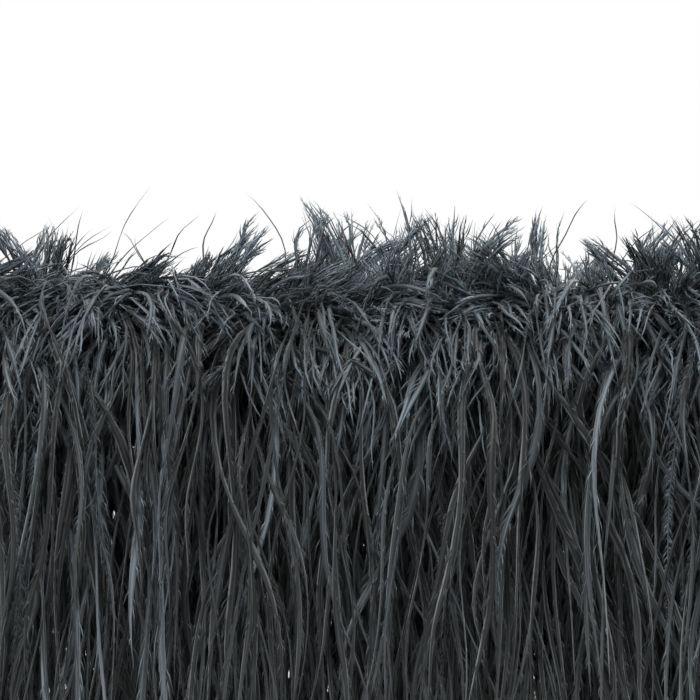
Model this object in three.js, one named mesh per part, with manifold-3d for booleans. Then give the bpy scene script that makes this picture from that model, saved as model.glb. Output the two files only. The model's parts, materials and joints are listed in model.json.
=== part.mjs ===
// A feather boa: two yards of ostrich fringe twisted round a cord, draped over a neck-wide support.
// Millimetres, +Z up. The boa's middle lies along X, and a tail hangs down at each side.
// The origin is the middle of the cord, where the boa rests on what holds it up.
import * as THREE from "three";
import { mergeVertices } from "three/addons/utils/BufferGeometryUtils.js";
import Module from "manifold-3d";

const wasm = await Module();
wasm.setup();

// The drape
const BOA_LENGTH = 1830; // cord, end to end
const SHOULDER_SPAN = 300; // straight stretch across the neck
const BEND_RADIUS = 45; // where the cord turns down over a shoulder
const LINKS_PER_TAIL = 4; // lengths of each tail that swing on their own
const FIRST_JOINT_DEPTH = 60; // top flex point of each tail, below the cord's middle

// The cord and what is twisted round it
const CORD_RADIUS = 2.5;
const RIB_RADIUS = 1.3; // a stripped plume rib, which the flues grow from
const RIB_PITCH = 70; // one turn of a rib round the cord
const RIB_STEPS_PER_TURN = 8;
const TOUCH_GAP = 0.5;
const BINDING_LENGTH = 12;
const BINDING_WALL = 1;
const WHIPPING_LENGTH = 14;
const WHIPPING_WALL = 1.6;
const LOOP_RADIUS = 7;
const LOOP_CORD_RADIUS = 1.1;
const CORD_JOINT_GAP = 1.8; // room for the cord's end to tilt at a flex point
const RIB_JOINT_GAP = 4.5; // the same for a rib, which is further out

// The plumage
const CROWN_HEIGHT = 45; // tufts above the cord
const MIDDLE_DROP = 175; // flues below the cord, on the stretch across the neck
const MIDDLE_HALF_LENGTH = 95;
const MIDDLE_HALF_DEPTH = 58;
const CURTAIN_THICKNESS = 8;
const TAIL_RADIUS = 72;
const TASSEL_LENGTH = 122; // flues below the cord's end
const TASSEL_TIP_RADIUS = 30;
const CHANNEL_RADIUS = 10; // the space round the cord and ribs
const CHANNEL_SIDES = 12;
const HUB_RADIUS = 15;
const LOCK_COUNT = 8; // locks of flues round a tail
const LOCK_THICKNESS = 7;
const NECK_RADIUS = 12;
const NECK_SLOPE = THREE.MathUtils.degToRad(38);
const NECK_GAP = 8; // below a flex point
const RIM_GAP = 4; // above a flex point
const PLUMES_GAP = 2; // between the plumage of the middle and of a shoulder

// How finely the round shapes are divided
const CORD_SIDES = 8;
const BENT_CORD_STEPS = 40;
const RIB_SIDES = 4;
const COLLAR_SIDES = 12;
const CHANNEL_STEPS = 16;
const LOOP_SIDES = 6;
const ROUND_SEGMENTS = 16; // once round a loop or a shoulder tuft
const TUFT_BANDS = 10; // from a shoulder tuft's top to its bottom
const CROWN_SEGMENTS = 12;

// Lengths along the cord, measured from its middle
const HALF_SPAN = SHOULDER_SPAN / 2;
const BEND_LENGTH = (Math.PI / 2) * BEND_RADIUS;
const TAIL_X = HALF_SPAN + BEND_RADIUS;
const HALF_LENGTH = BOA_LENGTH / 2;
const TAIL_END_Z = -(BEND_RADIUS + HALF_LENGTH - HALF_SPAN - BEND_LENGTH);
const FIRST_JOINT_Z = -FIRST_JOINT_DEPTH;
const LINK_LENGTH = (FIRST_JOINT_Z - TAIL_END_Z) / LINKS_PER_TAIL;
const RIB_ORBIT = CORD_RADIUS + TOUCH_GAP + RIB_RADIUS + TOUCH_GAP;
const TASSEL_Z = TAIL_END_Z - TASSEL_LENGTH;

const jointZ = (link) => FIRST_JOINT_Z - LINK_LENGTH * (link - 1);
const alongAtZ = (z) => HALF_SPAN + BEND_LENGTH - BEND_RADIUS - z;

// The cord's place and direction at a length from its middle, negative towards -X.
function routeAt(along) {
  const side = Math.sign(along) || 1;
  const past = Math.abs(along) - HALF_SPAN;
  const point = new THREE.Vector3();
  const turn = THREE.MathUtils.clamp(past / BEND_RADIUS, 0, Math.PI / 2);
  const straight = Math.min(Math.abs(along), HALF_SPAN);
  const hanging = Math.max(past - BEND_LENGTH, 0);
  point.x = side * (straight + BEND_RADIUS * Math.sin(turn));
  point.z = -BEND_RADIUS * (1 - Math.cos(turn)) - hanging;
  const tangent = new THREE.Vector3(Math.cos(turn), 0, -side * Math.sin(turn));
  return { point, tangent };
}

// A stretch of the route, or of a helix wound round it.
class RouteCurve extends THREE.Curve {
  constructor(from, to, orbit = 0, phase = 0) {
    super();
    this.from = from;
    this.to = to;
    this.orbit = orbit;
    this.phase = phase;
  }

  getPoint(t) {
    const along = THREE.MathUtils.lerp(this.from, this.to, t);
    const { point, tangent } = routeAt(along);
    const angle = this.phase + (2 * Math.PI * along) / RIB_PITCH;
    const sideways = new THREE.Vector3(0, 1, 0);
    const outwards = new THREE.Vector3().crossVectors(tangent, sideways);
    point.addScaledVector(sideways, this.orbit * Math.cos(angle));
    return point.addScaledVector(outwards, this.orbit * Math.sin(angle));
  }
}

function ringOfCorners(radius, sides) {
  const corners = [];
  for (let i = 0; i < sides; i++) {
    const angle = (2 * Math.PI * i) / sides;
    corners.push(new THREE.Vector2(radius * Math.cos(angle), radius * Math.sin(angle)));
  }
  return corners;
}

function tubeAlong(curve, radius, sides, steps) {
  const section = new THREE.Shape(ringOfCorners(radius, sides));
  return new THREE.ExtrudeGeometry(section, { extrudePath: curve, steps });
}

// A ring of rectangular section about Z.
function collar(inner, wall, length) {
  const profile = [
    [inner, -length / 2],
    [inner + wall, -length / 2],
    [inner + wall, length / 2],
    [inner, length / 2],
    [inner, -length / 2],
  ].map(([r, z]) => new THREE.Vector2(r, z));
  return new THREE.LatheGeometry(profile, COLLAR_SIDES).rotateX(Math.PI / 2);
}

// Exact joins and cuts
function toSolid(geometry) {
  const bare = geometry.clone();
  bare.deleteAttribute("normal");
  bare.deleteAttribute("uv");
  const merged = mergeVertices(bare);
  const triVerts = Uint32Array.from(merged.index.array);
  const vertProperties = merged.attributes.position.array;
  return new wasm.Manifold(new wasm.Mesh({ numProp: 3, vertProperties, triVerts }));
}

function toGeometry(solid) {
  const mesh = solid.getMesh();
  const geometry = new THREE.BufferGeometry();
  geometry.setAttribute("position", new THREE.BufferAttribute(mesh.vertProperties, 3));
  geometry.setIndex(new THREE.BufferAttribute(mesh.triVerts, 1));
  geometry.computeVertexNormals();
  return geometry;
}

const uprightCylinder = (radius, lowZ, highZ) =>
  new THREE.CylinderGeometry(radius, radius, highZ - lowZ, CHANNEL_SIDES)
    .rotateX(Math.PI / 2)
    .translate(0, 0, (highZ + lowZ) / 2);

// Flues gathered in locks that stand out round the cord, seen from its end.
function lockStar() {
  const half = LOCK_THICKNESS / 2;
  const corners = [];
  for (let i = 0; i < LOCK_COUNT; i++) {
    const angle = (2 * Math.PI * i) / LOCK_COUNT;
    const out = new THREE.Vector2(Math.cos(angle), Math.sin(angle));
    const across = new THREE.Vector2(-out.y, out.x);
    const root = Math.sqrt(HUB_RADIUS ** 2 - half ** 2);
    const tip = TAIL_RADIUS;
    for (const [reach, offset] of [[root, -half], [tip, -half], [tip, half], [root, half]]) {
      corners.push(out.clone().multiplyScalar(reach).addScaledVector(across, offset));
    }
  }
  return new THREE.Shape(corners);
}

// The plumage of one link of a tail: locks that spread from a narrow neck, and in the last link
// come together below the cord's end. It is centred on the Z axis.
function tailPlumes(link) {
  const last = link === LINKS_PER_TAIL;
  const top = jointZ(link) - NECK_GAP;
  const bottom = last ? TASSEL_Z : jointZ(link + 1) + RIM_GAP;
  const shoulder = top - (TAIL_RADIUS - NECK_RADIUS) * Math.tan(NECK_SLOPE);
  const rim = last ? [[TASSEL_TIP_RADIUS, bottom], [TAIL_RADIUS, TAIL_END_Z]] : [[TAIL_RADIUS, bottom]];
  const outline = [[0, bottom], ...rim, [TAIL_RADIUS, shoulder], [NECK_RADIUS, top], [0, top]];
  const profile = outline.map(([r, z]) => new THREE.Vector2(r, z));
  const spread = toSolid(new THREE.LatheGeometry(profile, 2 * LOCK_COUNT).rotateX(Math.PI / 2));
  const locks = new THREE.ExtrudeGeometry(lockStar(), { depth: top - bottom, bevelEnabled: false });
  const channelEnd = last ? TAIL_END_Z - 2 * (LOOP_RADIUS + CHANNEL_RADIUS) : bottom - RIM_GAP;
  const channel = toSolid(uprightCylinder(CHANNEL_RADIUS, channelEnd, top + NECK_GAP));
  return toGeometry(spread.intersect(toSolid(locks.translate(0, 0, bottom))).subtract(channel));
}

// The plumage across the neck: a crown over the cord, with curtains hanging before and behind.
function middlePlumes() {
  const shape = new THREE.Shape();
  shape.absellipse(0, 0, MIDDLE_HALF_DEPTH, CROWN_HEIGHT, Math.PI, 0, true);
  const innerEdge = HUB_RADIUS + CURTAIN_THICKNESS;
  for (const edge of [MIDDLE_HALF_DEPTH, innerEdge, -HUB_RADIUS, CURTAIN_THICKNESS - MIDDLE_HALF_DEPTH]) {
    shape.lineTo(edge, -HUB_RADIUS);
    shape.lineTo(edge, -MIDDLE_DROP);
    shape.lineTo(edge - CURTAIN_THICKNESS, -MIDDLE_DROP);
    shape.lineTo(edge - CURTAIN_THICKNESS, -HUB_RADIUS);
  }
  shape.holes.push(new THREE.Path(ringOfCorners(CHANNEL_RADIUS, CHANNEL_SIDES)));
  const depth = 2 * MIDDLE_HALF_LENGTH;
  const settings = { depth, bevelEnabled: false, curveSegments: CROWN_SEGMENTS };
  const geometry = new THREE.ExtrudeGeometry(shape, settings).translate(0, 0, -MIDDLE_HALF_LENGTH);
  return geometry.rotateX(Math.PI / 2).rotateZ(Math.PI / 2);
}

// The plumage over one shoulder, a rounded tuft that the bent cord runs through.
function shoulderPlumes(side) {
  const innerX = MIDDLE_HALF_LENGTH + PLUMES_GAP;
  const outerX = TAIL_X + TAIL_RADIUS;
  const lowZ = FIRST_JOINT_Z + RIM_GAP;
  const halfWidth = (outerX - innerX) / 2 + HUB_RADIUS;
  const halfHeight = (CROWN_HEIGHT - lowZ) / 2;
  const tuft = new THREE.SphereGeometry(1, ROUND_SEGMENTS, TUFT_BANDS).rotateX(Math.PI / 2);
  tuft.scale(halfWidth, MIDDLE_HALF_DEPTH, halfHeight);
  tuft.translate(side * (outerX - halfWidth), 0, (CROWN_HEIGHT + lowZ) / 2);
  const keep = new THREE.BoxGeometry(outerX, 4 * TAIL_RADIUS, 4 * TAIL_RADIUS);
  keep.translate(side * (innerX + outerX / 2), 0, 0);
  const past = alongAtZ(FIRST_JOINT_Z - RIM_GAP);
  const route = new RouteCurve(side * (innerX - HUB_RADIUS), side * past);
  const channel = toSolid(tubeAlong(route, CHANNEL_RADIUS, CHANNEL_SIDES, CHANNEL_STEPS));
  return toGeometry(toSolid(tuft).intersect(toSolid(keep)).subtract(channel));
}

// Materials
const finish = (color, roughness) => new THREE.MeshStandardMaterial({ color, roughness, metalness: 0 });
const MATERIALS = {
  cord: finish(0x1f2224, 0.85),
  rib: finish(0x2a2c2b, 0.6),
  thread: finish(0x17191a, 0.7),
  plumes: finish(0x2e3234, 0.8),
};

const boa = new THREE.Group();

function addPiece(name, geometry, material, place = [0, 0, 0]) {
  const mesh = new THREE.Mesh(geometry, MATERIALS[material]);
  mesh.name = name;
  mesh.position.set(...place);
  boa.add(mesh);
}

// The cord and its two ribs over one stretch of the route.
function addStrands(where, from, to, cordGaps, ribGaps) {
  const cord = new RouteCurve(from + cordGaps[0], to - cordGaps[1]);
  const cordSteps = where === "middle" ? BENT_CORD_STEPS : 1;
  addPiece(`core_cord_${where}`, tubeAlong(cord, CORD_RADIUS, CORD_SIDES, cordSteps), "cord");
  const ribLength = Math.abs(to - from) - ribGaps[0] - ribGaps[1];
  const steps = Math.round((ribLength / RIB_PITCH) * RIB_STEPS_PER_TURN);
  ["a", "b"].forEach((ply, i) => {
    const rib = new RouteCurve(from + ribGaps[0], to - ribGaps[1], RIB_ORBIT, i * Math.PI);
    addPiece(`rib_strip_${ply}_${where}`, tubeAlong(rib, RIB_RADIUS, RIB_SIDES, steps), "rib");
  });
}

// The stretch across the neck and over both shoulders
const firstJoint = alongAtZ(FIRST_JOINT_Z);
const bindingInner = RIB_ORBIT + RIB_RADIUS + TOUCH_GAP;
const cordJointGaps = [CORD_JOINT_GAP, CORD_JOINT_GAP];
const ribJointGaps = [RIB_JOINT_GAP, RIB_JOINT_GAP];
addStrands("middle", -firstJoint, firstJoint, cordJointGaps, ribJointGaps);
addPiece(
  "binding_thread_middle",
  collar(bindingInner, BINDING_WALL, BINDING_LENGTH).rotateY(Math.PI / 2),
  "thread",
);
addPiece("plumes_middle", middlePlumes(), "plumes");

// The tails
for (const [name, side] of [["left", -1], ["right", 1]]) {
  addPiece(`plumes_${name}_shoulder`, shoulderPlumes(side), "plumes");
  for (let link = 1; link <= LINKS_PER_TAIL; link++) {
    const where = `${name}_${link}`;
    const last = link === LINKS_PER_TAIL;
    const near = alongAtZ(jointZ(link));
    const far = alongAtZ(jointZ(link + 1));
    const cordGaps = [CORD_JOINT_GAP, last ? 0 : CORD_JOINT_GAP];
    const ribGaps = [RIB_JOINT_GAP, last ? WHIPPING_LENGTH + RIB_RADIUS + TOUCH_GAP : RIB_JOINT_GAP];
    if (side > 0) {
      addStrands(where, near, far, cordGaps, ribGaps);
    } else {
      addStrands(where, -far, -near, cordGaps.reverse(), ribGaps.reverse());
    }
    const middleZ = (jointZ(link) + jointZ(link + 1)) / 2;
    addPiece(
      `binding_thread_${where}`,
      collar(bindingInner, BINDING_WALL, BINDING_LENGTH),
      "thread",
      [side * TAIL_X, 0, middleZ],
    );
    addPiece(`plumes_${where}`, tailPlumes(link), "plumes", [side * TAIL_X, 0, 0]);
  }
  addPiece(
    `end_whipping_${name}`,
    collar(CORD_RADIUS + TOUCH_GAP, WHIPPING_WALL, WHIPPING_LENGTH),
    "thread",
    [side * TAIL_X, 0, TAIL_END_Z + WHIPPING_LENGTH / 2],
  );
  addPiece(
    `end_loop_${name}`,
    new THREE.TorusGeometry(LOOP_RADIUS, LOOP_CORD_RADIUS, LOOP_SIDES, ROUND_SEGMENTS).rotateX(Math.PI / 2),
    "cord",
    [side * TAIL_X, 0, TAIL_END_Z - TOUCH_GAP - LOOP_CORD_RADIUS - LOOP_RADIUS],
  );
}

export default boa;
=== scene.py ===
"""A black ostrich feather boa, draped across a neck, as Blender sees it.

The cord's route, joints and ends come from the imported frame. Everything else grows along that route:
the twisted cord, two stripped ribs wound round it, the thread that ties them, and thousands of flues.
"""

import json
import math
from typing import NamedTuple

import bpy
import numpy as np
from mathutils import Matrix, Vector


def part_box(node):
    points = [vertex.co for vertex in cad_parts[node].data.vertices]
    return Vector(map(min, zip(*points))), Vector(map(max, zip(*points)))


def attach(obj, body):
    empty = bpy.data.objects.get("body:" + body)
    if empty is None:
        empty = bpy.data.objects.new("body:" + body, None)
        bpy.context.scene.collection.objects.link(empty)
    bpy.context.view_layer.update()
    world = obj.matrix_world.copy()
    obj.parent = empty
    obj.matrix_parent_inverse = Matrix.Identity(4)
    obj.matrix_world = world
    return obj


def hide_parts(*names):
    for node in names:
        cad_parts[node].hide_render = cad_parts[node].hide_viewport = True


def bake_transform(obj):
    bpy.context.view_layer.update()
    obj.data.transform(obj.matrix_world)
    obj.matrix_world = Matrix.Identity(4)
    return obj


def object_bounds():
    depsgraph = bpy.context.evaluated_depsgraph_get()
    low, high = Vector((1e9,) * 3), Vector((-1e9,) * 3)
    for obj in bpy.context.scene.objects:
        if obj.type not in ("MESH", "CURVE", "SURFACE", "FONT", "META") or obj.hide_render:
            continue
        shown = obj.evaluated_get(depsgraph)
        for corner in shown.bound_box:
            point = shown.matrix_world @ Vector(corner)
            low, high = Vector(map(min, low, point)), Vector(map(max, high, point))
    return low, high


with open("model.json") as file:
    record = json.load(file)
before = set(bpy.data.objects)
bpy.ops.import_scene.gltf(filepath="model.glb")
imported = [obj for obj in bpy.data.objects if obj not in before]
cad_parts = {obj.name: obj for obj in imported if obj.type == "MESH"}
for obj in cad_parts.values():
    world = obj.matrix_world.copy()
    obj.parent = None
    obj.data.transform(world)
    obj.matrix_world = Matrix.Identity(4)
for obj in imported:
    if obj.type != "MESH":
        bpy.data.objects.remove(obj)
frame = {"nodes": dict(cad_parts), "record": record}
CAD_BOX = [list(corner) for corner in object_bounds()]

# ---------------------------------------------------------------------------------------- sizes, in metres
SIDES = {"left": -1, "right": 1}
JOINTS = {joint["name"]: joint for joint in frame["record"]["behaviour"]["joints"]}
LINKS = sum(name.startswith("left_flex") for name in JOINTS)
TAIL_X = JOINTS["right_flex_1"]["pos_m"][0]
JOINT_Z = [JOINTS[f"right_flex_{link + 1}"]["pos_m"][2] for link in range(LINKS)]
CORD_END_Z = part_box(f"core_cord_right_{LINKS}")[0][2]
CORD_RADIUS = (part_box("core_cord_right_1")[1][0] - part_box("core_cord_right_1")[0][0]) / 2

BEND_RADIUS = 0.045
HALF_SPAN = TAIL_X - BEND_RADIUS
BEND_LENGTH = BEND_RADIUS * math.pi / 2
RIB_PITCH = 0.070
RIB_ORBIT = 0.0048
RIB_RADIUS = 0.0013
RIB_THICKNESS = 0.0007
THREAD_RADIUS = 0.00035


def along_at(z):
    """The length along the cord, from its middle, at this height on a tail."""
    return HALF_SPAN + BEND_LENGTH - BEND_RADIUS - z


JOINT_ALONG = [along_at(z) for z in JOINT_Z]
CORD_END = along_at(CORD_END_Z)
LINK_LENGTH = JOINT_ALONG[1] - JOINT_ALONG[0]
LINK_MIDDLES = [joint + LINK_LENGTH / 2 for joint in JOINT_ALONG]

# -------------------------------------------------------------------------------------------------- camera
CAMERA_DISTANCE = 1.2
VIEW_WIDTH = 0.231
VIEW_CENTRE_Z = -0.008
SENSOR_WIDTH = 36


def add_camera():
    data = bpy.data.cameras.new("camera")
    data.sensor_width = SENSOR_WIDTH
    data.lens = SENSOR_WIDTH * CAMERA_DISTANCE / VIEW_WIDTH
    camera = bpy.data.objects.new("camera", data)
    camera.location = (0, -CAMERA_DISTANCE, VIEW_CENTRE_Z)
    camera.rotation_euler = (math.pi / 2, 0, 0)
    bpy.context.scene.collection.objects.link(camera)
    bpy.context.scene.camera = camera


add_camera()


# ---------------------------------------------------------------------------------------- the cord's route
def route(along):
    """Points and directions of the cord's centre line, at lengths from its middle, negative towards -X."""
    along = np.asarray(along, float)
    side = np.where(along < 0, -1.0, 1.0)
    past = np.abs(along) - HALF_SPAN
    turn = np.clip(past / BEND_RADIUS, 0, math.pi / 2)
    straight = np.minimum(np.abs(along), HALF_SPAN)
    hanging = np.maximum(past - BEND_LENGTH, 0)
    level = np.zeros_like(along)
    x = side * (straight + BEND_RADIUS * np.sin(turn))
    z = -BEND_RADIUS * (1 - np.cos(turn)) - hanging
    points = np.stack([x, level, z], axis=-1)
    tangents = np.stack([np.cos(turn), level, -side * np.sin(turn)], axis=-1)
    return points, tangents


def unit(vectors):
    return vectors / np.maximum(np.linalg.norm(vectors, axis=-1, keepdims=True), 1e-12)


def radial(tangents, angle):
    """Directions square to the route: 0 is up, or outwards on a tail, and a quarter turn is to the front."""
    outward = np.cross(tangents, (0.0, 1.0, 0.0))
    front = np.array((0.0, -1.0, 0.0))
    return np.cos(angle)[..., None] * outward + np.sin(angle)[..., None] * front


def rib_angle(along, ply):
    """Where rib 0 or 1 stands round the cord."""
    return 2 * math.pi * along / RIB_PITCH + ply * math.pi - math.pi / 2


# ------------------------------------------------------------------------------------------- mesh building
BAKE_MAP = "OFBake"


def mesh_object(name, points, faces, material, maps=None, **point_values):
    """A smooth mesh from arrays of triangles and quads, with per-point values that its material reads."""
    corners = np.concatenate([part.ravel() for part in faces]).astype(np.int32)
    sizes = np.concatenate([np.full(len(part), part.shape[1]) for part in faces])
    mesh = bpy.data.meshes.new(name)
    mesh.vertices.add(len(points))
    mesh.vertices.foreach_set("co", points.astype(np.float32).ravel())
    mesh.loops.add(len(corners))
    mesh.loops.foreach_set("vertex_index", corners)
    mesh.polygons.add(len(sizes))
    mesh.polygons.foreach_set("loop_start", (np.cumsum(sizes) - sizes).astype(np.int32))
    mesh.update(calc_edges=True)
    mesh.shade_smooth()
    if maps is not None:
        layer = mesh.uv_layers.new(name=BAKE_MAP)
        layer.data.foreach_set("uv", maps[corners].astype(np.float32).ravel())
    for key, values in point_values.items():
        attribute = mesh.attributes.new(key, "FLOAT", "POINT")
        attribute.data.foreach_set("value", values.astype(np.float32).ravel())
    mesh.materials.append(material)
    piece = bpy.data.objects.new(name, mesh)
    bpy.context.scene.collection.objects.link(piece)
    return piece


def ring_quads(count, rings, sides):
    """Faces of count closed tubes, each of rings rings of sides corners."""
    index = np.arange(count * rings * sides).reshape(count, rings, sides)
    near, far = index[:, :-1], index[:, 1:]
    walls = np.stack([near, np.roll(near, -1, axis=2), np.roll(far, -1, axis=2), far], axis=-1)
    faces = [walls.reshape(-1, 4)]
    for ring, order in ((index[:, 0], -1), (index[:, -1], 1)):
        ring = ring[:, ::order]
        for corner in range(1, sides - 1, 2):
            faces.append(ring[:, [0, corner, corner + 1, corner + 2]].reshape(-1, 4))
    return np.concatenate(faces)


# --------------------------------------------------------------------------------------------------- flues
class Family(NamedTuple):
    """One kind of flue: how many grow on a metre of cord, how long and wide they are, and how they hang."""

    per_metre: float
    lock: int  # flues that leave a rib together
    length: tuple
    width: tuple  # from barb tip to barb tip, at the widest
    barbs: float  # on a metre of flue, both sides together
    stiffness: tuple  # the length over which a flue turns down under its own weight
    arc: tuple  # on the level stretch, how far round from the top the roots point
    lean: float  # spread of the roots' tilt along the cord
    sway: float  # spread of the direction that a flue hangs in
    flare: float  # how much a hanging flue still stands away from the cord
    gather: tuple  # how far a lock's tips come together
    twist: float  # spread of a vane's turns along its length
    rings: int
    stem: float  # the solid part of the width
    slant: float = 0.28  # the barbs' angle to their flue
    shades: tuple = (0.0, 1.0)  # its darkest and lightest flue
    curl: float = 0.11  # how far it wanders from its course


FRINGE = Family(
    per_metre=7400, lock=6, length=(0.102, 0.222), width=(0.0026, 0.0060), barbs=383,
    stiffness=(0.012, 0.036), arc=(1.25, 2.5), lean=0.5, sway=0.32, flare=0.12,
    gather=(0.2, 0.9), twist=1.0, rings=19, stem=0.48, shades=(-0.20, 1.0), curl=0.16,
)
# painted light: the ruff's flues get lighter tones in a narrow range, standing for light from above on the
# top of the boa
RUFF = Family(
    per_metre=8400, lock=6, length=(0.014, 0.076), width=(0.0022, 0.0050), barbs=520,
    stiffness=(0.020, 0.060), arc=(0.7, 2.2), lean=0.45, sway=0.4, flare=0.4,
    gather=(0.1, 0.8), twist=1.0, rings=10, stem=0.40, shades=(0.41, 0.72), curl=0.10,
)
# painted light: the tufts' darkest tone is raised, standing for light from above on the top of the boa
TUFTS = Family(
    per_metre=9500, lock=12, length=(0.008, 0.040), width=(0.0018, 0.0044), barbs=800,
    stiffness=(0.07, 0.25), arc=(0.0, 1.9), lean=0.34, sway=0.3, flare=0.5,
    gather=(0.2, 0.9), twist=1.0, rings=7, stem=0.32, shades=(0.22, 1.0),
)
PLUMES = Family(
    per_metre=110, lock=1, length=(0.100, 0.160), width=(0.0046, 0.0075), barbs=3600,
    stiffness=(0.018, 0.040), arc=(1.1, 2.0), lean=0.4, sway=0.16, flare=0.25,
    gather=(0.0, 0.1), twist=0.5, rings=36, stem=0.12, slant=0.5,
)
WISPS = Family(
    per_metre=800, lock=1, length=(0.025, 0.046), width=(0.0003, 0.0006), barbs=0,
    stiffness=(0.06, 0.14), arc=(0.0, 1.3), lean=0.6, sway=0.4, flare=0.6,
    gather=(0.0, 0.1), twist=0.8, rings=12, stem=1.0,
)

ROOT_DEPTH = RIB_ORBIT + RIB_RADIUS / 2
ROOT_SPREAD = 0.003  # along the cord, within a lock
LOCK_TURN = 1.1  # spread of a lock's place round its rib, in radians
FLUE_TURN = 0.25  # and of a flue's in its lock
LEAN_SHARE = 1 / 3  # how much of the roots' tilt is a flue's own, and not its lock's
STRAY_SHARE = 1 / 2  # and how much of the direction that it hangs in
LENGTH_POWER = 2  # above 1, more of the locks are long than short
LENGTH_SPREAD, STIFFNESS_SPREAD = 0.08, 0.12
CURL_CYCLES = (0.5, 2.4)  # turns to one side and back along a flue
GATHER_POWER = 1.3  # a lock comes together more towards its tips
HANG_LIMIT = 0.97  # the largest cosine between the directions of a flue's root and tip
REACH_LIMIT = 0.074  # how far to the side a flue can hang from its place on the cord
BLADE_THICKNESS = 0.00022
FOLD = 0.35  # how far the two halves of a vane fold towards each other, in radians


def crown_lean(along):
    """Across the neck the short tufts lean right, stand up, lean left and then stand up again."""
    return np.interp(along, (-0.01, 0.02, 0.05, 0.068, 0.085, 0.12), (0.65, 0.1, -0.45, -0.4, 0.1, 0.3))


def hang(first, last, keep):
    """Directions that turn from first to last as keep goes from 1 to 0, along the shortest arc."""
    angle = np.arccos(np.clip((first * last).sum(-1), -HANG_LIMIT, HANG_LIMIT))
    start, end = np.sin(keep * angle[..., None]), np.sin((1 - keep) * angle[..., None])
    return unit(start[..., None] * first[..., None, :] + end[..., None] * last[..., None, :])


def grow(family, start, end, rng, bias=None):
    """Centre lines of one family between two lengths along the cord: locks, flues, rings and XYZ."""
    locks = max(1, round(family.per_metre * (end - start) / family.lock))
    shape = (locks, family.lock + 1)
    own = np.arange(shape[1]) > 0  # the first of each lock is its guide, which isn't kept

    def vary(between, within):
        return rng.normal(0, between, (locks, 1)) + rng.normal(0, within, shape) * own

    along = rng.uniform(start, end, (locks, 1)) + rng.normal(0, ROOT_SPREAD, shape) * own
    centre, tangent = route(along)
    level = np.abs(tangent[..., 0])
    ply = rng.integers(0, 2, (locks, 1))
    turn = rib_angle(along, ply) + vary(LOCK_TURN, FLUE_TURN)
    turn = (turn + math.pi) % (2 * math.pi) - math.pi
    low, high = family.arc
    folded = np.sign(turn) * (low + (high - low) * np.abs(turn) / math.pi)
    turn = turn + (folded - turn) * level
    lean = vary(family.lean, family.lean * LEAN_SHARE)
    if bias is not None:
        lean = lean + bias(along) * level
    outward = radial(tangent, turn)
    first = unit(outward * np.cos(lean)[..., None] + tangent * np.sin(lean)[..., None])
    stray_spread = family.sway * STRAY_SHARE
    stray = [vary(family.sway, 0) + rng.laplace(0, stray_spread, shape) * own for _ in range(2)]
    last = np.stack([*stray, -np.ones(shape)], axis=-1)
    last = unit(last + family.flare * first * (1.0, 1.0, 0.0))
    shortest, longest = family.length
    length = shortest + (longest - shortest) * rng.power(LENGTH_POWER, (locks, 1))
    length = length * np.exp(rng.normal(0, LENGTH_SPREAD, shape) * own)
    length = np.minimum(length, centre[..., 2] - CAD_BOX[0][2])
    stiffness = rng.uniform(*family.stiffness, (locks, 1))
    stiffness = stiffness * np.exp(rng.normal(0, STIFFNESS_SPREAD, shape) * own)
    reach = np.linspace(0, 1, family.rings)
    keep = np.exp(-reach * (length / stiffness)[..., None])
    heading = hang(first, last, keep)
    for size in ((locks, 1), shape):
        for axis in range(3):
            cycles, phase = rng.uniform(*CURL_CYCLES, (*size, 1)), rng.uniform(0, 1, (*size, 1))
            heading[..., axis] += family.curl * np.sin(2 * math.pi * (cycles * reach + phase))
    steps = unit(heading) * (length / (family.rings - 1))[..., None, None]
    root = centre + outward * ROOT_DEPTH
    paths = root[..., None, :] + np.cumsum(steps, axis=2) - steps
    gather = rng.uniform(*family.gather, (locks, 1, 1, 1)) * (reach**GATHER_POWER)[:, None]
    paths += (paths[:, :1] - paths) * gather
    away = (paths - centre[..., None, :]) * (1, 1, 0)
    far = np.linalg.norm(away, axis=-1, keepdims=True)
    paths += away * (np.tanh(far / REACH_LIMIT) * REACH_LIMIT / np.maximum(far, 1e-9) - 1)
    return paths[:, own]


def eased(values, limit, ease):
    """The same values up to a limit either side of 0, and beyond it never more than ease past it."""
    over = np.maximum(np.abs(values) - limit, 0)
    return np.sign(values) * (np.minimum(np.abs(values), limit) + ease * np.tanh(over / ease))


def frames(paths, twist, rng):
    """For each ring of each path: the way along it, across its open vane, and out of that vane."""
    count, rings = paths.shape[:2]
    along = unit(np.gradient(paths, axis=1))
    aside = unit(np.cross(along, unit(rng.normal(size=(count, 1, 3)))))
    above = np.cross(along, aside)
    turn = rng.uniform(0, 2 * math.pi, (count, 1))
    turn = turn + rng.normal(0, twist, (count, 1)) * math.pi * np.linspace(0, 1, rings)
    across = aside * np.cos(turn)[..., None] + above * np.sin(turn)[..., None]
    return along, across, np.cross(across, along)


class Strands(NamedTuple):
    """Alike closed shapes: their points, the faces of one, and what the material and the map need."""

    points: np.ndarray  # shapes, points, XYZ
    faces: tuple
    values: np.ndarray  # shapes, points, and length, reach, across and shade
    cells: np.ndarray  # the map cell of each shape
    places: np.ndarray  # shapes, points, and the place across and up the cell


def up_cell(reach):
    return CELL_MARGIN + (1 - 2 * CELL_MARGIN) * reach


def stacked(shape, *columns):
    return np.stack([np.broadcast_to(column, shape) for column in columns], axis=-1)


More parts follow.
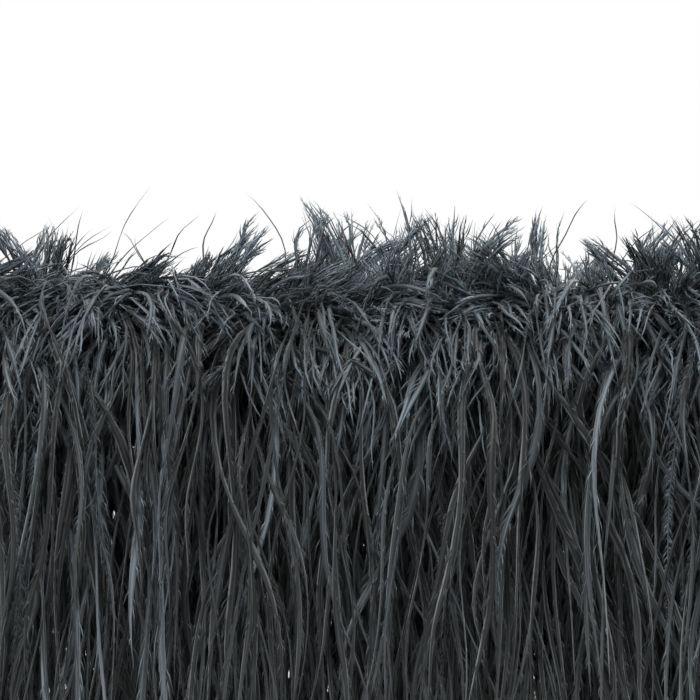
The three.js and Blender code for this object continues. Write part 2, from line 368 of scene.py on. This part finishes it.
def blades(paths, across, out, half, fold, shades):
    """Closed, folded blades: the corners of each ring are its left edge, ridge, right edge and keel."""
    count, rings = paths.shape[:2]
    corners = np.empty((count, rings, 4, 3))
    for corner, side in ((0, -1), (2, 1)):
        spread = side * math.cos(fold) * across + math.sin(fold) * out
        corners[:, :, corner] = paths + spread * half[..., None]
    thick = np.minimum(BLADE_THICKNESS, half)[..., None] * out
    corners[:, :, 1] = paths + thick
    corners[:, :, 3] = paths - thick
    steps = np.linalg.norm(np.diff(paths, axis=1, prepend=paths[:, :1]), axis=-1)
    length, reach = np.cumsum(steps, axis=1)[..., None], np.linspace(0, 1, rings)[:, None]
    shape = (count, rings, 4)
    values = stacked(shape, length, reach, np.array((-1.0, 0.0, 1.0, 0.0)), shades[:, None, None])
    places = stacked(shape, np.array((CELL_EDGE, 0.5, 1 - CELL_EDGE, 0.5)), up_cell(reach))
    faces = (ring_quads(1, rings, 4),)
    flat = (count, rings * 4, -1)
    cells = np.arange(count)
    return Strands(corners.reshape(flat), faces, values.reshape(flat), cells, places.reshape(flat))


ROOT_TAPER, TIP_TAPER = 0.18, 0.30  # shares of a flue's length
ROOT_WIDTH = 0.25  # a flue's width at its root, as a share of its widest
POINT_WIDTH = 0.06  # and at its tip
TIP_ROUNDING = 0.8
SWELL = 0.25
SWELL_CYCLES = (1.5, 4.0)
LOCK_SHADES, FLUE_SHADES = (1.2, 1.5), (0.9, 1.2)  # the two powers of their beta distributions
OUTER_SHARE = 0.32  # flues that stand away from the cord by less than this share of their length are darker: painted shade inside the boa
# the least share of its tone that a flue keeps under this painted shade
INNER_PAINTED_SHADE = 0.05
BARB_WIDTH = (0.00025, 0.00055)
FULL_BARB = 0.001  # barbs that reach less far to the side than this are narrower
LEAST_BARB = 0.35  # down to this share
LEAST_SLANT = 0.1
BARB_PLACES = (0.04, 0.98)  # the part of a flue that has barbs
BARB_SPREAD = (0.6, 1.25)  # shares of the flue's half width that barbs reach to
BARB_LIFT = (0.25, 0.35)  # how far they rise out of the vane: the mean and the spread
BARB_BEND = 0.45  # where along its length a barb is thickest and bends
BOW_OUT, BOW_UP = 0.15, 0.30  # how far it bends, as shares of its reach and of its lift
SLANT_SPREAD = 0.2  # of its slant
BARB_SHADE_SPREAD = 0.06
BARB_POINTS = 5
CELL_ASPECT = 4  # a flue's cell in the map is this much taller than wide
CELL_MARGIN = 0.04  # kept free at both ends of the cell
CELL_EDGE = 0.1  # and at both sides
BARB_FACES = np.array([[0, 1, 2], [0, 2, 3], [0, 3, 1], [4, 2, 1], [4, 3, 2], [4, 1, 3]])


def barbs(family, paths, frame_of, half, shades, rng):
    """Slender closed barbs that leave a flue on both sides and bend forward along it."""
    count, rings = paths.shape[:2]
    each = round(family.barbs * np.mean(family.length))
    shape = (count, each)
    place = rng.uniform(*BARB_PLACES, shape)
    ring = place * (rings - 1)
    low = ring.astype(int)
    part = ring - low
    flue = np.arange(count)[:, None]

    def at(values):
        share = part.reshape(*shape, *[1] * (values.ndim - 2))
        return values[flue, low] * (1 - share) + values[flue, low + 1] * share

    along, across, out = frame_of
    root, forward, aside, up = at(paths), unit(at(along)), unit(at(across)), unit(at(out))
    side = rng.choice((-1.0, 1.0), (*shape, 1))
    slant = rng.normal(family.slant, SLANT_SPREAD * family.slant, (*shape, 1))
    spread = (at(half) * rng.uniform(*BARB_SPREAD, shape))[..., None]
    length = spread / np.sin(np.maximum(slant, LEAST_SLANT))
    lift = rng.normal(*BARB_LIFT, (*shape, 1)) * spread
    tip = root + forward * np.cos(slant) * length + side * aside * spread + up * lift
    bow = root + (tip - root) * BARB_BEND + side * aside * spread * BOW_OUT + up * lift * BOW_UP
    flat = unit(np.cross(tip - root, up))
    width = rng.uniform(*BARB_WIDTH, (*shape, 1)) * np.clip(spread / FULL_BARB, LEAST_BARB, 1)
    corners = [root, bow + flat * width / 2, bow + up * width / 3, bow - flat * width / 2, tip]
    points = np.stack(corners, axis=2)
    shape = (*shape, BARB_POINTS)
    share = np.array((0.0, BARB_BEND, BARB_BEND, BARB_BEND, 1.0))
    reach = place[..., None] + share * length / np.mean(family.length)
    shade = shades[:, None, None] + rng.normal(0, BARB_SHADE_SPREAD, shape[:2])[..., None]
    values = stacked(shape, reach * np.mean(family.length), reach, side * share, shade)
    places = stacked(shape, 0.5 + (0.5 - CELL_EDGE) * side * share, up_cell(np.minimum(reach, 1)))
    flat = (count * each, BARB_POINTS, -1)
    cells = np.repeat(np.arange(count), each)
    return Strands(points.reshape(flat), (BARB_FACES,), values.reshape(flat), cells, places.reshape(flat))


def waves(rng, count, reach):
    """A slow swell and shrink along each flue, round 1."""
    cycles, phase = rng.uniform(*SWELL_CYCLES, (count, 1)), rng.uniform(0, 1, (count, 1))
    return 1 + SWELL * np.sin(2 * math.pi * (cycles * reach + phase))


def flues(family, paths, rng):
    """Flues on these centre lines: a folded blade for each one, and its barbs."""
    locks, each, rings = paths.shape[:3]
    count = locks * each
    paths = paths.reshape(count, rings, 3)
    frame_of = frames(paths, family.twist, rng)
    reach = np.linspace(0, 1, rings)
    root = np.clip(reach / ROOT_TAPER, ROOT_WIDTH, 1)
    tip = np.clip((1 - reach) / TIP_TAPER, 0, 1) ** TIP_ROUNDING
    half = rng.uniform(*family.width, (count, 1)) / 2 * np.maximum(root * tip, POINT_WIDTH)
    half = half * waves(rng, count, reach)
    shades = (rng.beta(*LOCK_SHADES, (locks, 1)) + rng.beta(*FLUE_SHADES, (locks, each))) / 2
    # painted shade: flues that stay close to the cord, inside the boa, are darkened
    apart = paths[:, rings // 2] - paths[:, 0]
    apart[:, 2] = np.maximum(apart[:, 2], 0)
    out_of_shade = np.linalg.norm(apart, axis=-1) / (OUTER_SHARE * np.mean(family.length))
    dark, light = family.shades
    shades = dark + (light - dark) * shades.reshape(count) * np.clip(out_of_shade, INNER_PAINTED_SHADE, 1)
    made = [blades(paths, frame_of[1], frame_of[2], half * family.stem, FOLD, shades)]
    if family.barbs:
        made.append(barbs(family, paths, frame_of, half, shades, rng))
    return made


def flue_piece(name, strands):
    """One mesh of strands. Each flue has its own narrow cell of the map, which its barbs share."""
    total, faces, maps, cells = 0, [], [], 0
    for part in strands:
        starts = total + np.arange(len(part.points)) * part.points.shape[1]
        faces += [(pattern + starts[:, None, None]).reshape(-1, pattern.shape[1]) for pattern in part.faces]
        total += part.points.shape[0] * part.points.shape[1]
    flue_count = sum(len(part.points) for part in strands if part.points.shape[1] > BARB_POINTS)
    columns = math.ceil(math.sqrt(CELL_ASPECT * flue_count))
    rows = math.ceil(flue_count / columns)
    for part in strands:
        cell = part.cells[:, None] + cells
        u, v = part.places[..., 0] + cell % columns, part.places[..., 1] + cell // columns
        maps.append(np.stack([u / columns, v / rows], axis=-1).reshape(-1, 2))
        if part.points.shape[1] == BARB_POINTS:
            cells += part.cells.max() + 1
    points = np.concatenate([part.points.reshape(-1, 3) for part in strands])
    values = np.concatenate([part.values.reshape(-1, 4) for part in strands])
    return mesh_object(
        name,
        points,
        faces,
        OSTRICH_FLUE,
        maps=np.concatenate(maps),
        flue_length=values[:, 0],
        flue_reach=values[:, 1],
        flue_across=values[:, 2],
        flue_shade=values[:, 3],
    )


# ----------------------------------------------------------------------------------------------- materials
SPECULAR = 0.2
SHEEN_TINT = (0.88, 0.97, 1.0, 1)
SHEEN_ROUGHNESS = 0.45


def new_material(name, roughness, sheen=0.0):
    """A material with its shader, and its node tree to add to."""
    material = bpy.data.materials.new(name)
    material.use_nodes = True
    shader = material.node_tree.nodes["Principled BSDF"]
    shader.inputs["Roughness"].default_value = roughness
    shader.inputs["Specular IOR Level"].default_value = SPECULAR
    shader.inputs["Sheen Weight"].default_value = sheen
    shader.inputs["Sheen Tint"].default_value = SHEEN_TINT
    shader.inputs["Sheen Roughness"].default_value = SHEEN_ROUGHNESS
    return material, material.node_tree, shader


def node(tree, kind, inputs=None, **settings):
    """A node with its settings; an input is a number, a colour or another node's output."""
    made = tree.nodes.new(kind)
    for key, value in settings.items():
        setattr(made, key, value)
    for key, value in (inputs or {}).items():
        if isinstance(value, bpy.types.NodeSocket):
            tree.links.new(value, made.inputs[key])
        else:
            made.inputs[key].default_value = value
    return made


def attribute(tree, name):
    return node(tree, "ShaderNodeAttribute", attribute_name=name).outputs["Fac"]


def calculate(tree, operation, *values):
    return node(tree, "ShaderNodeMath", dict(enumerate(values)), operation=operation).outputs[0]


def noise(tree, scale, detail, where=None):
    inputs = {"Scale": scale, "Detail": detail}
    if where is not None:
        inputs["Vector"] = where
    return node(tree, "ShaderNodeTexNoise", inputs).outputs["Fac"]


def colour_ramp(tree, value, stops):
    """A colour for each value; stops are pairs of a position and a linear colour."""
    made = node(tree, "ShaderNodeValToRGB", {"Fac": value})
    elements = made.color_ramp.elements
    for element, (position, colour) in zip((elements[0], elements[-1]), (stops[0], stops[-1])):
        element.position, element.color = position, (*colour, 1)
    for position, colour in stops[1:-1]:
        elements.new(position).color = (*colour, 1)
    return made.outputs["Color"]


def object_place(tree):
    return node(tree, "ShaderNodeTexCoord").outputs["Object"]


def shifted(tree, tone, value, middle, weight):
    """The tone, raised where the value is above its middle and lowered where it is below."""
    return calculate(tree, "MULTIPLY_ADD", calculate(tree, "SUBTRACT", value, middle), weight, tone)


STREAKS_ALONG = 60.0  # on a metre of flue
STREAKS_ACROSS = 3.0
STREAK_SHUFFLE = 90.0  # keeps the streaks of two flues apart
STREAK_DETAIL = 4.0
STREAK_MIDDLE, STREAK_WEIGHT = 0.5, 0.6
# painted shade across each flue: darker edges and a lighter ridge
PAINTED_EDGE_SHADE_MIDDLE, PAINTED_EDGE_SHADE_WEIGHT = 0.5, -0.20
FULL_TONE = 0.8  # a flue is darker from its root to this share of its length
ROOT_TONE_MIDDLE, ROOT_TONE_WEIGHT = 0.58, 0.30
FLUE_BUMP = {"Strength": 0.3, "Distance": 0.0001}


def ostrich_flue():
    """Dyed ostrich: each flue has its own depth of grey and streaks, painted shade on its edges, and a
    darker root.
    """
    material, tree, shader = new_material("ostrich_flue", roughness=0.6, sheen=0.09)
    keys = ("shade", "length", "reach", "across")
    shade, length, reach, across = (attribute(tree, f"flue_{key}") for key in keys)
    where = node(tree, "ShaderNodeCombineXYZ", {
        "X": calculate(tree, "MULTIPLY", length, STREAKS_ALONG),
        "Y": calculate(tree, "MULTIPLY", across, STREAKS_ACROSS),
        "Z": calculate(tree, "MULTIPLY", shade, STREAK_SHUFFLE),
    }).outputs["Vector"]
    streaks = noise(tree, 1.0, STREAK_DETAIL, where)
    towards_tip = calculate(tree, "MINIMUM", calculate(tree, "DIVIDE", reach, FULL_TONE), 1.0)
    tone = shifted(tree, shade, streaks, STREAK_MIDDLE, STREAK_WEIGHT)
    # painted shade: darker towards the flue's edges, lighter along its ridge
    tone = shifted(tree, tone, calculate(tree, "ABSOLUTE", across), PAINTED_EDGE_SHADE_MIDDLE, PAINTED_EDGE_SHADE_WEIGHT)
    tone = shifted(tree, tone, towards_tip, ROOT_TONE_MIDDLE, ROOT_TONE_WEIGHT)
    colour = colour_ramp(tree, tone, FLUE_COLOURS)
    tint = colour_ramp(tree, length, FLUE_TINTS)
    mixed = node(tree, "ShaderNodeMix", data_type="RGBA", blend_type="MULTIPLY")
    mixed.inputs["Factor"].default_value = 1.0
    tree.links.new(colour, mixed.inputs[6])
    tree.links.new(tint, mixed.inputs[7])
    tree.links.new(mixed.outputs[2], shader.inputs["Base Color"])
    bump = node(tree, "ShaderNodeBump", {**FLUE_BUMP, "Height": streaks})
    tree.links.new(bump.outputs["Normal"], shader.inputs["Normal"])
    return material


FIBRE_WEIGHT = 0.2
PATCH_SCALE, PATCH_DETAIL = 600.0, 4.0
FIBRE_BUMP = {"Strength": 0.6, "Distance": 0.00012}


def fibre_material(name, colours, fibres, turns, roughness):
    """Twisted fibres: fine lines that run round and along a strand."""
    material, tree, shader = new_material(name, roughness, sheen=0.3)
    along = calculate(tree, "MULTIPLY", attribute(tree, "strand_length"), turns)
    phase = calculate(tree, "ADD", along, attribute(tree, "strand_around"))
    lines = calculate(tree, "SINE", calculate(tree, "MULTIPLY", phase, 2 * math.pi * fibres))
    patches = noise(tree, PATCH_SCALE, PATCH_DETAIL, object_place(tree))
    tone = calculate(tree, "MULTIPLY_ADD", lines, FIBRE_WEIGHT, patches)
    tree.links.new(colour_ramp(tree, tone, colours), shader.inputs["Base Color"])
    bump = node(tree, "ShaderNodeBump", {**FIBRE_BUMP, "Height": tone})
    tree.links.new(bump.outputs["Normal"], shader.inputs["Normal"])
    return material


FLUE_COLOURS = (
    (0.0, (0.001, 0.001, 0.001)),
    (0.3, (0.004, 0.004, 0.004)),
    (0.6, (0.025, 0.025, 0.025)),
    (1.0, (0.125, 0.125, 0.125)),
)
FLUE_TINTS = (  # at these distances from the root, in metres
    (0.02, (0.76, 1.0, 1.19)),
    (0.09, (0.79, 1.0, 1.17)),
    (0.16, (0.90, 1.0, 1.07)),
)
COTTON_COLOURS = ((0.2, (0.006, 0.006, 0.007)), (0.8, (0.045, 0.047, 0.050)))
RIB_COLOURS = ((0.2, (0.008, 0.007, 0.006)), (0.8, (0.060, 0.054, 0.048)))
THREAD_COLOURS = ((0.2, (0.010, 0.010, 0.011)), (0.8, (0.080, 0.082, 0.086)))

OSTRICH_FLUE = ostrich_flue()
CORE_COTTON = fibre_material("core_cotton", COTTON_COLOURS, fibres=9, turns=90.0, roughness=0.85)
PLUME_RIB = fibre_material("plume_rib", RIB_COLOURS, fibres=14, turns=1.5, roughness=0.5)
BINDING_THREAD = fibre_material("binding_thread", THREAD_COLOURS, fibres=3, turns=900.0, roughness=0.45)


# -------------------------------------------------------------------------------------- cord, ribs, thread
def tube(path, facing, width, thickness, sides):
    """Rings of corners round a path. The thin side looks to facing; width and thickness are half sizes."""
    forward = unit(np.gradient(path, axis=0))
    facing = unit(facing - (facing * forward).sum(-1, keepdims=True) * forward)
    aside = np.cross(forward, facing)
    angle = np.linspace(0, 2 * math.pi, sides, endpoint=False)
    width = np.broadcast_to(width, (len(path), sides))
    thickness = np.broadcast_to(thickness, (len(path), sides))
    return (
        path[:, None]
        + facing[:, None] * (np.cos(angle) * thickness)[..., None]
        + aside[:, None] * (np.sin(angle) * width)[..., None]
    )


def tube_piece(name, tubes, material):
    """One mesh of closed tubes, each an array of rings, corners and XYZ."""
    points, quads, lengths, arounds = [], [], [], []
    for rings in tubes:
        count, sides = rings.shape[:2]
        middle = rings.mean(axis=1)
        steps = np.linalg.norm(np.diff(middle, axis=0, prepend=middle[:1]), axis=-1)
        quads.append(ring_quads(1, count, sides) + sum(map(len, points)))
        points.append(rings.reshape(-1, 3))
        lengths.append(np.repeat(np.cumsum(steps), sides))
        arounds.append(np.tile(np.arange(sides) / sides, count))
    return mesh_object(
        name,
        np.concatenate(points),
        quads,
        material,
        strand_length=np.concatenate(lengths),
        strand_around=np.concatenate(arounds),
    )


def wound(along, orbit, angle):
    """A line that winds round the route, and the way out from the route at each of its points."""
    centre, tangent = route(along)
    outward = radial(tangent, angle)
    return centre + outward * np.asarray(orbit)[..., None], outward


STRANDS = 3
STRAND_PITCH = 0.016
STRAND_STEP = 0.001
STRAND_SIDES = 10
STRAND_SQUEEZE = 1.08  # strands that press on each other are this much wider than they are thick
RIB_STEP = 0.0015
RIB_SIDES = 8
RIB_ROUGHNESS = 0.2  # of its width
THREAD_PITCH = 0.009
BAND_PITCH = 2.1 * THREAD_RADIUS
THREAD_SIDES = 6
THREAD_STEPS = 20  # on each turn
WHIPPING_TILT = 0.3  # how far up the whipping thread's facing leans
LOOP_PLIES = 2
LOOP_TWISTS = 14
LOOP_STEPS = 160


def cord_strands(start, end):
    """Three cotton strands laid up into the core."""
    along = np.linspace(start, end, round((end - start) / STRAND_STEP) + 1)
    radius = CORD_RADIUS / (1 + 2 / math.sqrt(3))
    made = []
    for strand in range(STRANDS):
        angle = 2 * math.pi * (along / STRAND_PITCH + strand / STRANDS)
        path, outward = wound(along, CORD_RADIUS - radius, angle)
        made.append(tube(path, outward, radius * STRAND_SQUEEZE, radius, STRAND_SIDES))
    return made


def rib_strip(ply, start, end, rng):
    """A stripped quill, wound round the core with its flat side inwards and its edges left rough."""
    along = np.linspace(start, end, round((end - start) / RIB_STEP) + 1)
    path, outward = wound(along, RIB_ORBIT, rib_angle(along, ply))
    rough = rng.uniform(1 - RIB_ROUGHNESS, 1, (len(along), RIB_SIDES))
    return [tube(path, outward, RIB_RADIUS * rough, RIB_THICKNESS * rough, RIB_SIDES)]


def thread_band(start, end, radius):
    """Thread wound in touching turns over the ribs."""
    along = np.linspace(start, end, round((end - start) / BAND_PITCH * THREAD_STEPS))
    path, outward = wound(along, radius, 2 * math.pi * (along - start) / BAND_PITCH)
    return [tube(path, outward, THREAD_RADIUS, THREAD_RADIUS, THREAD_SIDES)]


def open_thread(start, end):
    """The same thread in wide turns, over each rib and down to the core between them."""
    along = np.linspace(start, end, round((end - start) / THREAD_PITCH * THREAD_STEPS))
    angle = 2 * math.pi * along / THREAD_PITCH
    low, high = CORD_RADIUS + THREAD_RADIUS, RIB_ORBIT + RIB_THICKNESS + THREAD_RADIUS
    over_rib = np.cos(angle - rib_angle(along, 0)) ** 2
    path, outward = wound(along, low + (high - low) * over_rib, angle)
    return [tube(path, outward, THREAD_RADIUS, THREAD_RADIUS, THREAD_SIDES)]


def whipping_thread(side):
    """Thread wound down round the cord's end in touching turns, and then inwards to close it."""
    low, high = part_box(f"end_whipping_{side}")
    radius = (high[1] - low[1]) / 2 - THREAD_RADIUS
    down_turns, inward_turns = (high[2] - low[2]) / BAND_PITCH, radius / BAND_PITCH - 1
    turns = np.linspace(0, down_turns + inward_turns, round((down_turns + inward_turns) * THREAD_STEPS))
    angle = 2 * math.pi * turns
    orbit = radius - BAND_PITCH * np.maximum(turns - down_turns, 0)
    height = high[2] - THREAD_RADIUS - BAND_PITCH * np.minimum(turns, down_turns)
    outward = np.stack([np.cos(angle), np.sin(angle), np.zeros_like(angle)], axis=-1)
    path = outward * orbit[:, None] + height[:, None] * (0, 0, 1) + (SIDES[side] * TAIL_X, 0, 0)
    return [tube(path, outward + (0, 0, WHIPPING_TILT), THREAD_RADIUS, THREAD_RADIUS, THREAD_SIDES)]


def loop_plies(side):
    """Two plies of cord twisted round each other into a ring."""
    low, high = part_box(f"end_loop_{side}")
    thick = (high[1] - low[1]) / 2
    ring = (high[0] - low[0]) / 2 - thick
    turn = np.linspace(0, 2 * math.pi, LOOP_STEPS)
    out = np.stack([np.sin(turn), np.zeros_like(turn), np.cos(turn)], axis=-1)
    made = []
    for ply in range(LOOP_PLIES):
        twist = LOOP_TWISTS * turn + ply * math.pi
        offset = out * np.cos(twist)[:, None] + np.array((0, 1, 0)) * np.sin(twist)[:, None]
        path = np.array((low + high) / 2) + out * ring + offset * thick / 2
        made.append(tube(path, offset, thick / 2, thick / 2, RIB_SIDES))
    return made


# ------------------------------------------------------------------------------------------------ assembly
SHOULDER_EASE = 0.018  # how far the middle's flues hang past its ends, clear of the cords of the tails
MIDDLE_PARTS = 5
MIDDLE_FAMILIES = (("fringe", FRINGE, None), ("ruff", RUFF, None), ("crown", TUFTS, crown_lean))
TAIL_FRINGE = FRINGE._replace(
    per_metre=3800, length=(0.110, 0.165), flare=0.30, rings=12, barbs=90, stem=0.7, curl=0.15
)
TAIL_TUFTS = TUFTS._replace(per_metre=2500, rings=7, barbs=200, stem=0.7)
TAIL_RUFF = RUFF._replace(per_metre=1500, rings=9, barbs=200, stem=0.7)
TAIL_FAMILIES = (TAIL_FRINGE, TAIL_RUFF, TAIL_TUFTS)


def fit(piece, nodes, bodies):
    """Hides the CAD nodes that a piece stands for; a piece on one body rides with it, and one that spans
    more keeps its place.
    """
    if nodes:
        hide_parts(*nodes)
    if len(bodies) == 1:
        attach(piece, bodies[0])
    else:
        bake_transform(piece)


def build_middle():
    """Everything on the level stretch, which rides with the neck."""
    rng = np.random.default_rng(1)
    span = (-HALF_SPAN, HALF_SPAN)
    body = ("middle",)
    cord = tube_piece("cord_middle", cord_strands(*span), CORE_COTTON)
    fit(cord, ["core_cord_middle"], body)
    for ply, letter in enumerate("ab"):
        rib = tube_piece(f"rib_{letter}_middle", rib_strip(ply, *span, rng), PLUME_RIB)
        fit(rib, [f"rib_strip_{letter}_middle"], body)
    thread = tube_piece("thread_middle", open_thread(*span), BINDING_THREAD)
    fit(thread, [], body)
    edges = np.linspace(*span, MIDDLE_PARTS + 1)
    for part in range(MIDDLE_PARTS):
        here = edges[part : part + 2]
        for name, family, bias in MIDDLE_FAMILIES:
            paths = grow(family, *here, rng, bias)
            paths[..., 0] = eased(paths[..., 0], HALF_SPAN, SHOULDER_EASE)
            front = paths[..., 1].mean(axis=(1, 2)) < 0
            for half, chosen in (("front", front), ("back", ~front)):
                piece = flue_piece(f"{name}_{half}_{part + 1}", flues(family, paths[chosen], rng))
                fit(piece, ["plumes_middle"], body)
    for name, family in (("crown_wisps", WISPS), ("wide_plumes", PLUMES)):
        piece = flue_piece(name, flues(family, grow(family, *span, rng, crown_lean), rng))
        fit(piece, ["plumes_middle"], body)


def build_tail(side):
    """One hanging tail: a stretch of cord, ribs, thread and plumage across each joint, then the tassel."""
    rng = np.random.default_rng(2 + SIDES[side])
    sign = SIDES[side]
    ends = [HALF_SPAN, *LINK_MIDDLES, CORD_END]
    bodies = ["middle", *(f"{side}_tail_{link}" for link in range(1, LINKS + 1))]
    for link in range(1, LINKS + 2):
        start, end = sorted((sign * ends[link - 1], sign * ends[link]))
        riding = bodies[link - 1 : link + 1]
        where = f"{side}_{link}" if link <= LINKS else f"{side}_end"
        here = [f"_{side}_{link}"] if link <= LINKS else []
        cord = tube_piece(f"cord_{where}", cord_strands(start, end), CORE_COTTON)
        fit(cord, [f"core_cord{at}" for at in here], riding)
        for ply, letter in enumerate("ab"):
            rib = tube_piece(f"rib_{letter}_{where}", rib_strip(ply, start, end, rng), PLUME_RIB)
            fit(rib, [f"rib_strip_{letter}{at}" for at in here], riding)
        thread = tube_piece(f"thread_{where}", open_thread(start, end), BINDING_THREAD)
        fit(thread, [], riding)
        grown = []
        for family in TAIL_FAMILIES:
            grown += flues(family, grow(family, start, end, rng), rng)
        nodes = [f"plumes{at}" for at in here] + ([f"plumes_{side}_shoulder"] if link == 1 else [])
        fit(flue_piece(f"plumage_{where}", grown), nodes, riding)


def build_bindings():
    """A dense band of thread at the middle of each link, over the ribs."""
    for name in sorted(frame["nodes"]):
        if not name.startswith("binding_thread"):
            continue
        low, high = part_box(name)
        radius = (high[1] - low[1]) / 2 - THREAD_RADIUS
        if name.endswith("middle"):
            along, half, body = 0.0, (high[0] - low[0]) / 2, "middle"
        else:
            _, _, side, link = name.split("_")
            along = SIDES[side] * along_at((low[2] + high[2]) / 2)
            half, body = (high[2] - low[2]) / 2, f"{side}_tail_{link}"
        band = thread_band(along - half + THREAD_RADIUS, along + half - THREAD_RADIUS, radius)
        fit(tube_piece(f"{name}_band", band, BINDING_THREAD), [name], (body,))


def build_end(side):
    """The whipping that closes the cord's end, and the small loop that hangs from it."""
    body = (f"{side}_tail_{LINKS}",)
    whipping = tube_piece(f"whipping_{side}", whipping_thread(side), BINDING_THREAD)
    fit(whipping, [f"end_whipping_{side}"], body)
    loop = tube_piece(f"loop_{side}", loop_plies(side), CORE_COTTON)
    fit(loop, [f"end_loop_{side}"], body)


build_middle()
for tail in SIDES:
    build_tail(tail)
    build_end(tail)
build_bindings()


# ----------------------------------------------------------------------------------------- floor and light
FLOOR_RADIUS = 40
FLOOR_SIDES = 96
FLOOR_DROP = 0.1
LIGHT_SIZE = 1.0
FLOOR_COLOURS = ((0.3, (0.88, 0.88, 0.88)), (0.7, (0.91, 0.91, 0.91)))


def add_floor():
    material, tree, shader = new_material("pale_floor", roughness=0.9)
    tone = noise(tree, 3.0, 2.0, object_place(tree))
    tree.links.new(colour_ramp(tree, tone, FLOOR_COLOURS), shader.inputs["Base Color"])
    bpy.ops.mesh.primitive_circle_add(
        vertices=FLOOR_SIDES,
        radius=FLOOR_RADIUS,
        fill_type="NGON",
        location=(0, 0, CAD_BOX[0][2] - FLOOR_DROP),
    )
    floor = bpy.context.object
    floor.name = "floor"
    floor.data.materials.append(material)


def add_light(name, place, power):
    """A round studio light of LIGHT_SIZE that faces the boa's middle."""
    data = bpy.data.lights.new(name, "AREA")
    data.shape, data.size, data.energy = "DISK", LIGHT_SIZE, power
    light = bpy.data.objects.new(name, data)
    light.location = place
    light.rotation_mode = "QUATERNION"
    light.rotation_quaternion = Vector(place).to_track_quat("Z", "Y")
    bpy.context.scene.collection.objects.link(light)


def add_world():
    world = bpy.data.worlds.new("studio")
    world.use_nodes = True
    background = world.node_tree.nodes["Background"]
    background.inputs["Color"].default_value = (1, 1, 1, 1)
    background.inputs["Strength"].default_value = 1.0
    bpy.context.scene.world = world
    bpy.context.scene.view_settings.view_transform = "Standard"


add_floor()
add_world()
add_light("key", (-0.8, -1.8, 1.6), 60)
add_light("overhead", (0.1, -0.3, 2.0), 100)
add_light("back", (0.9, 2.0, 1.2), 45)
